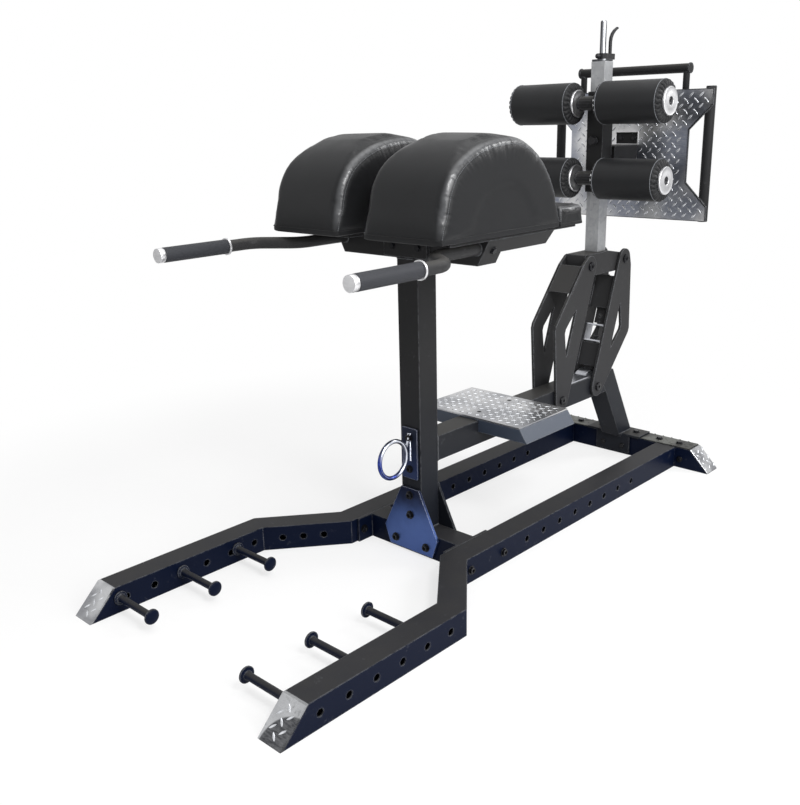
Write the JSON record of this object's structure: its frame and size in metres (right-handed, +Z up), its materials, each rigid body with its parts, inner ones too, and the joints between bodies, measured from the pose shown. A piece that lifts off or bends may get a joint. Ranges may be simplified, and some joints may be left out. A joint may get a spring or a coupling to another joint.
{
  "type": "glute ham developer",
  "caption": "Glute ham developer: splayed tube base, split hip pads with handles, a step, and a mast on a parallelogram linkage that carries ankle rollers and a foot plate.",
  "frame": {"origin": "on the floor, at the centre of the machine's length and width", "axes": "+Y to the rear, towards the foot plate; +X to the right of someone who faces the rear; +Z up"},
  "size_m": [0.843, 2.078, 1.527],
  "materials": {
    "black_paint": "satin powder coat",
    "zinc": "zinc plated, brushed",
    "tread_plate": "bright tread plate with raised bars",
    "polished_steel": "polished",
    "silver_trim": "fine satin",
    "vinyl": "grained, satin",
    "grip_rubber": "fine knurl, matt",
    "black_plastic": "satin"
  },
  "bodies": {
    "base": {"left_rail": "black_paint", "right_rail": "black_paint", "left_end_cap": "tread_plate", "right_end_cap": "tread_plate", "left_band_peg_1": "black_paint", "left_band_peg_2": "black_paint", "left_band_peg_3": "black_paint", "right_band_peg_1": "black_paint", "right_band_peg_2": "black_paint", "right_band_peg_3": "black_paint", "rear_beam": "black_paint", "front_crossmember": "black_paint", "front_gusset": "black_paint", "rear_gusset": "black_paint", "upright": "black_paint", "rope_ring": "polished_steel", "spine": "black_paint", "rear_strut": "black_paint", "step_frame": "black_paint", "step_tread": "tread_plate", "pad_carrier": "black_paint", "left_hip_pad": "vinyl", "right_hip_pad": "vinyl", "left_rear_pad": "vinyl", "right_rear_pad": "vinyl", "left_handle_bar": "black_paint", "right_handle_bar": "black_paint", "left_grip_core": "silver_trim", "right_grip_core": "silver_trim", "left_grip": "grip_rubber", "right_grip": "grip_rubber", "front_lower_pivot": "zinc", "rear_lower_pivot": "zinc", "lock_drum": "zinc"},
    "front_link": {"front_link": "black_paint"},
    "rear_link": {"rear_link": "black_paint", "latch_box": "zinc"},
    "lock": {"lock_slider": "black_paint"},
    "head": {"head_block": "black_paint", "front_upper_pivot": "zinc", "rear_upper_pivot": "zinc", "mast": "zinc", "grip_rod": "polished_steel", "lever_clamp": "black_plastic", "release_cable": "black_plastic"},
    "lever": {"release_lever": "black_plastic"},
    "carriage": {"carriage": "black_paint", "foot_frame": "black_paint", "foot_tread": "tread_plate", "lower_axle": "zinc", "upper_axle": "zinc"},
    "plunger": {"clamp_plunger": "black_plastic"},
    "lower_left_roller": {"lower_left_spool": "silver_trim", "lower_left_roller": "vinyl"},
    "lower_right_roller": {"lower_right_spool": "silver_trim", "lower_right_roller": "vinyl"},
    "upper_left_roller": {"upper_left_spool": "silver_trim", "upper_left_roller": "vinyl"},
    "upper_right_roller": {"upper_right_spool": "silver_trim", "upper_right_roller": "vinyl"}
  },
  "joints": [
    {"name": "front_link_swing", "type": "hinge", "parent": "base", "child": "front_link", "pos_m": [0, 0.529, 0.315], "axis": [-1, 0, 0], "range_deg": [-15, 12]},
    {"name": "head_level", "type": "hinge", "parent": "front_link", "child": "head", "pos_m": [0, 0.678, 0.7502], "axis": [1, 0, 0], "range_deg": [-15.1, 12.1]},
    {"name": "rear_link_swing", "type": "hinge", "parent": "base", "child": "rear_link", "pos_m": [0, 0.751, 0.315], "axis": [-1, 0, 0], "range_deg": [-15.1, 12.1]},
    {"name": "lever_squeeze", "type": "hinge", "parent": "head", "child": "lever", "pos_m": [0, 0.824, 1.4186], "axis": [1, 0, 0], "range_deg": [0, 18], "stiffness_Nm_per_rad": 4, "springref_deg": -5.73},
    {"name": "lock_lift", "type": "slide", "parent": "rear_link", "child": "lock", "axis": [0, 0.3239, 0.9461], "range_m": [0, 0.006]},
    {"name": "carriage_slide", "type": "slide", "parent": "head", "child": "carriage", "axis": [0, 0, 1], "range_m": [-0.15, 0.01]},
    {"name": "plunger_pull", "type": "slide", "parent": "carriage", "child": "plunger", "axis": [0, -1, 0], "range_m": [0, 0.008], "stiffness_N_per_m": 500, "springref_m": -0.01},
    {"name": "lower_left_spin", "type": "hinge", "parent": "carriage", "child": "lower_left_roller", "pos_m": [-0.164, 0.709, 1.0355], "axis": [1, 0, 0], "continuous": true},
    {"name": "lower_right_spin", "type": "hinge", "parent": "carriage", "child": "lower_right_roller", "pos_m": [0.164, 0.709, 1.0355], "axis": [1, 0, 0], "continuous": true},
    {"name": "upper_left_spin", "type": "hinge", "parent": "carriage", "child": "upper_left_roller", "pos_m": [-0.164, 0.709, 1.273], "axis": [1, 0, 0], "continuous": true},
    {"name": "upper_right_spin", "type": "hinge", "parent": "carriage", "child": "upper_right_roller", "pos_m": [0.164, 0.709, 1.273], "axis": [1, 0, 0], "continuous": true}
  ],
  "couplings": [
    {"joint": "head_level", "follows": "front_link_swing", "ratio": 1},
    {"joint": "rear_link_swing", "follows": "front_link_swing", "ratio": 1},
    {"joint": "lock_lift", "follows": "lever_squeeze", "m_per_rad": 0.019}
  ]
}
